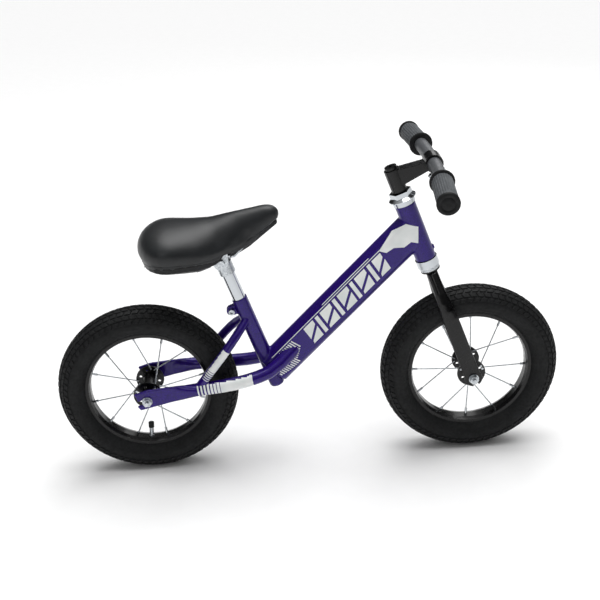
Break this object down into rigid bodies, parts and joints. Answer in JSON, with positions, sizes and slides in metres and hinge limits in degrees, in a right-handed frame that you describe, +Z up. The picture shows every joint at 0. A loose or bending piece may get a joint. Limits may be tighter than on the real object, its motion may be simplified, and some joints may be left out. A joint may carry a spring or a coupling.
{
  "type": "balance bike",
  "caption": "Child's balance bike with a welded oval beam frame, straight fork, quill stem and flared saddle on two small spoked wheels.",
  "frame": {"origin": "on the floor, midway between the two axles", "axes": "+X forwards, +Y to the rider's left, +Z up"},
  "size_m": [0.853, 0.375, 0.5418],
  "materials": {
    "frame_paint": "gloss violet metallic paint",
    "black_paint": "gloss black paint",
    "chrome": "bright chrome plate",
    "zinc_steel": "bright zinc plate",
    "grey_paint": "semi gloss grey paint",
    "grip_rubber": "matte moulded rubber",
    "tyre": "matte black rubber",
    "tube_rubber": "matte",
    "black_plastic": "matte moulded",
    "saddle_cover": "satin black vinyl"
  },
  "bodies": {
    "frame": {"head_tube": "frame_paint", "main_beam": "frame_paint", "seat_tube": "frame_paint", "chainstay_left": "frame_paint", "chainstay_right": "frame_paint", "seatstay_left": "frame_paint", "seatstay_right": "frame_paint", "seat_clamp_bolt": "zinc_steel", "upper_cup": "chrome", "lower_cup": "chrome", "rear_axle": "zinc_steel", "rear_cones": "zinc_steel", "rear_locknuts": "zinc_steel", "rear_axle_washers": "zinc_steel", "rear_axle_nuts": "zinc_steel"},
    "rear_wheel": {"rear_hub_shell": "black_paint", "rear_hub_balls": "chrome", "rear_rim": "black_paint", "rear_inner_tube": "tube_rubber", "rear_tyre": "tyre", "rear_spokes": "zinc_steel", "rear_nipples": "chrome", "rear_valve": "zinc_steel", "rear_valve_cap": "black_plastic"},
    "fork": {"steerer_tube": "black_paint", "fork_blade_left": "black_paint", "fork_blade_right": "black_paint", "crown_race": "zinc_steel", "headset_balls": "chrome", "adjusting_race": "chrome", "headset_locknut": "chrome", "front_axle": "zinc_steel", "front_cones": "zinc_steel", "front_locknuts": "zinc_steel", "front_axle_washers": "zinc_steel", "front_axle_nuts": "zinc_steel"},
    "front_wheel": {"front_hub_shell": "black_paint", "front_hub_balls": "chrome", "front_rim": "black_paint", "front_inner_tube": "tube_rubber", "front_tyre": "tyre", "front_spokes": "zinc_steel", "front_nipples": "chrome", "front_valve": "zinc_steel", "front_valve_cap": "black_plastic"},
    "stem_assembly": {"stem": "black_paint", "stem_bolt": "black_paint", "stem_wedge": "zinc_steel", "bar_clamp_bolt": "zinc_steel"},
    "bars": {"handlebar": "grey_paint", "grip_left": "grip_rubber", "grip_right": "grip_rubber"},
    "post_assembly": {"seat_post": "chrome", "post_clamp": "zinc_steel", "saddle_bolt": "zinc_steel"},
    "saddle": {"saddle_cheeks": "zinc_steel", "saddle_rails": "zinc_steel", "saddle_base": "black_plastic", "saddle_cushion": "saddle_cover"}
  },
  "joints": [
    {"name": "steering", "type": "hinge", "parent": "frame", "child": "fork", "pos_m": [0.19841, 0, 0.36017], "axis": [-0.342, 0, 0.9397], "range_deg": [-90, 90]},
    {"name": "front_wheel_spin", "type": "hinge", "parent": "fork", "child": "front_wheel", "pos_m": [0.274, 0, 0.1525], "axis": [0, 1, 0], "continuous": true},
    {"name": "rear_wheel_spin", "type": "hinge", "parent": "frame", "child": "rear_wheel", "pos_m": [-0.274, 0, 0.1525], "axis": [0, 1, 0], "continuous": true},
    {"name": "stem_height", "type": "slide", "parent": "fork", "child": "stem_assembly", "axis": [-0.342, 0, 0.9397], "range_m": [-0.0015, 0.025]},
    {"name": "bar_roll", "type": "hinge", "parent": "stem_assembly", "child": "bars", "pos_m": [0.20819, 0, 0.52336], "axis": [0, 1, 0], "range_deg": [-30, 30]},
    {"name": "seat_height", "type": "slide", "parent": "frame", "child": "post_assembly", "axis": [-0.3173, 0, 0.9483], "range_m": [-0.025, 0.04]},
    {"name": "saddle_tilt", "type": "hinge", "parent": "post_assembly", "child": "saddle", "pos_m": [-0.13518, 0, 0.38262], "axis": [0, 1, 0], "range_deg": [-8, 8]}
  ]
}
